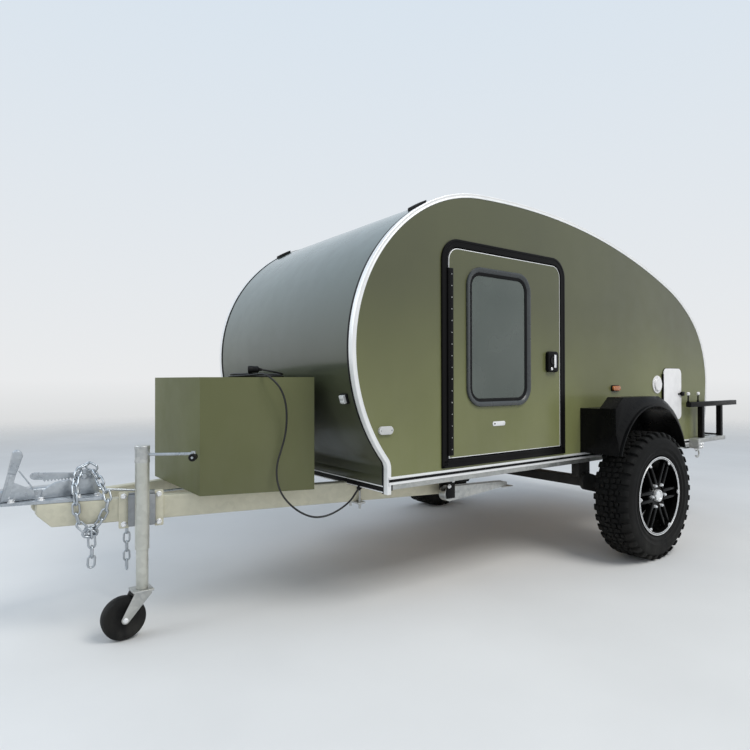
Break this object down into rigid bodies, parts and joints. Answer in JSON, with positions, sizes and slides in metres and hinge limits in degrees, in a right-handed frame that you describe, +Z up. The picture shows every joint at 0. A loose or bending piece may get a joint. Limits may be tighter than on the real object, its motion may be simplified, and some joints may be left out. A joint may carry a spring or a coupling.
{
  "type": "teardrop trailer",
  "caption": "Small teardrop camping trailer with side doors, rear galley hatch, drawbar box, all-terrain wheels, jockey wheel and folding corner steadies.",
  "frame": {"origin": "on the ground under the middle of the overall length and width", "axes": "+X towards the rear, +Y to the trailer's right, +Z up"},
  "size_m": [5.12, 2.109, 2.0385],
  "materials": {
    "olive_paint": "satin olive green paint on composite panel",
    "skin_paint": "glossy olive green bent sheet",
    "black_paint": "satin black powder coat",
    "black_frame": "black anodised section",
    "bright_trim": "bright anodised aluminium edge",
    "galvanised": "hot-dip galvanised steel",
    "window_ring": "dark grey moulded ring",
    "window_glass": "tinted acrylic double glazing",
    "tyre": "all-terrain tyre rubber",
    "alloy": "gloss black alloy with a machined lip",
    "axle_paint": "black painted steel",
    "white_plastic": "white moulded plastic",
    "white_lens": "clear white lens",
    "amber_lens": "amber lens",
    "red_lens": "red lens",
    "lead_black": "black sheathed cable",
    "plywood": "birch plywood",
    "jockey_rubber": "black solid rubber"
  },
  "bodies": {
    "trailer": {"floor_panel": "plywood", "side_wall_left": "olive_paint", "side_wall_right": "olive_paint", "roof_skin": "skin_paint", "front_apron": "black_paint", "body_hinges": "bright_trim", "edge_trims": "bright_trim", "bulkhead": "plywood", "galley_counter": "plywood", "chassis_frame": "galvanised", "drawbar_beams": "galvanised", "coupler": "galvanised", "handbrake_lever": "galvanised", "brake_rod": "galvanised", "safety_chains": "galvanised", "door_frames": "black_frame", "axle": "axle_paint", "trailing_arms": "axle_paint", "fender_left": "black_paint", "fender_right": "black_paint", "front_box": "olive_paint", "jockey_clamp": "galvanised", "jockey_tube": "galvanised", "jockey_crank": "galvanised", "steady_brackets": "galvanised", "rear_bumper": "galvanised", "side_racks": "black_paint", "roof_feet": "black_paint", "beam_clamps": "galvanised", "lead_tube": "lead_black", "lead_coil": "lead_black", "lead_plug": "lead_black", "lead_gland": "lead_black", "amber_markers": "amber_lens", "front_lamps": "white_lens", "tail_lamps": "red_lens", "power_inlet": "white_plastic"},
    "wheel_left": {"tyre_left": "tyre", "rim_left": "alloy"},
    "wheel_right": {"tyre_right": "tyre", "rim_right": "alloy"},
    "jockey_leg": {"jockey_leg": "galvanised"},
    "jockey_fork": {"jockey_fork": "galvanised"},
    "jockey_wheel": {"jockey_wheel": "jockey_rubber"},
    "door_left": {"door_left": "olive_paint", "door_left_glass": "window_glass", "door_left_fittings": "window_ring"},
    "door_right": {"door_right": "olive_paint", "door_right_glass": "window_glass", "door_right_fittings": "window_ring"},
    "rear_hatch": {"rear_hatch": "skin_paint"},
    "access_hatch": {"access_hatch": "white_plastic"},
    "front_box_door": {"front_box_door": "olive_paint"},
    "steady_front_left": {"steady_front_left": "galvanised"},
    "steady_front_right": {"steady_front_right": "galvanised"},
    "steady_rear_left": {"steady_rear_left": "galvanised"},
    "steady_rear_right": {"steady_rear_right": "galvanised"}
  },
  "joints": [
    {"name": "wheel_left_spin", "type": "hinge", "parent": "trailer", "child": "wheel_left", "pos_m": [0.94, -0.942, 0.38], "axis": [0, 1, 0], "continuous": true},
    {"name": "wheel_right_spin", "type": "hinge", "parent": "trailer", "child": "wheel_right", "pos_m": [0.94, 0.942, 0.38], "axis": [0, 1, 0], "continuous": true},
    {"name": "jockey_wind", "type": "slide", "parent": "trailer", "child": "jockey_leg", "axis": [0, 0, 1], "range_m": [0, 0.16]},
    {"name": "jockey_swivel", "type": "hinge", "parent": "jockey_leg", "child": "jockey_fork", "pos_m": [-1.825, -0.25355, 0.196], "axis": [0, 0, 1], "continuous": true},
    {"name": "jockey_spin", "type": "hinge", "parent": "jockey_fork", "child": "jockey_wheel", "pos_m": [-1.9, -0.25355, 0.088], "axis": [0, 1, 0], "continuous": true},
    {"name": "door_left_swing", "type": "hinge", "parent": "trailer", "child": "door_left", "pos_m": [-0.522, -0.763, 1.2], "axis": [0, 0, -1], "range_deg": [0, 120]},
    {"name": "door_right_swing", "type": "hinge", "parent": "trailer", "child": "door_right", "pos_m": [-0.522, 0.763, 1.2], "axis": [0, 0, 1], "range_deg": [0, 120]},
    {"name": "rear_hatch_lift", "type": "hinge", "parent": "trailer", "child": "rear_hatch", "pos_m": [1.5625, 0, 1.76328], "axis": [0, -1, 0], "range_deg": [0, 80]},
    {"name": "access_hatch_swing", "type": "hinge", "parent": "trailer", "child": "access_hatch", "pos_m": [1.5387, -0.757, 0.98], "axis": [0, 0, -1], "range_deg": [0, 100]},
    {"name": "front_box_door_swing", "type": "hinge", "parent": "trailer", "child": "front_box_door", "pos_m": [-1.5832, 0.34876, 0.83], "axis": [0, 0, 1], "range_deg": [0, 100]},
    {"name": "steady_front_left_fold", "type": "hinge", "parent": "trailer", "child": "steady_front_left", "pos_m": [-0.39, -0.61, 0.484], "axis": [0, 1, 0], "range_deg": [0, 75]},
    {"name": "steady_front_right_fold", "type": "hinge", "parent": "trailer", "child": "steady_front_right", "pos_m": [-0.39, 0.61, 0.484], "axis": [0, 1, 0], "range_deg": [0, 75]},
    {"name": "steady_rear_left_fold", "type": "hinge", "parent": "trailer", "child": "steady_rear_left", "pos_m": [1.95, -0.61, 0.484], "axis": [0, -1, 0], "range_deg": [0, 75]},
    {"name": "steady_rear_right_fold", "type": "hinge", "parent": "trailer", "child": "steady_rear_right", "pos_m": [1.95, 0.61, 0.484], "axis": [0, -1, 0], "range_deg": [0, 75]}
  ]
}
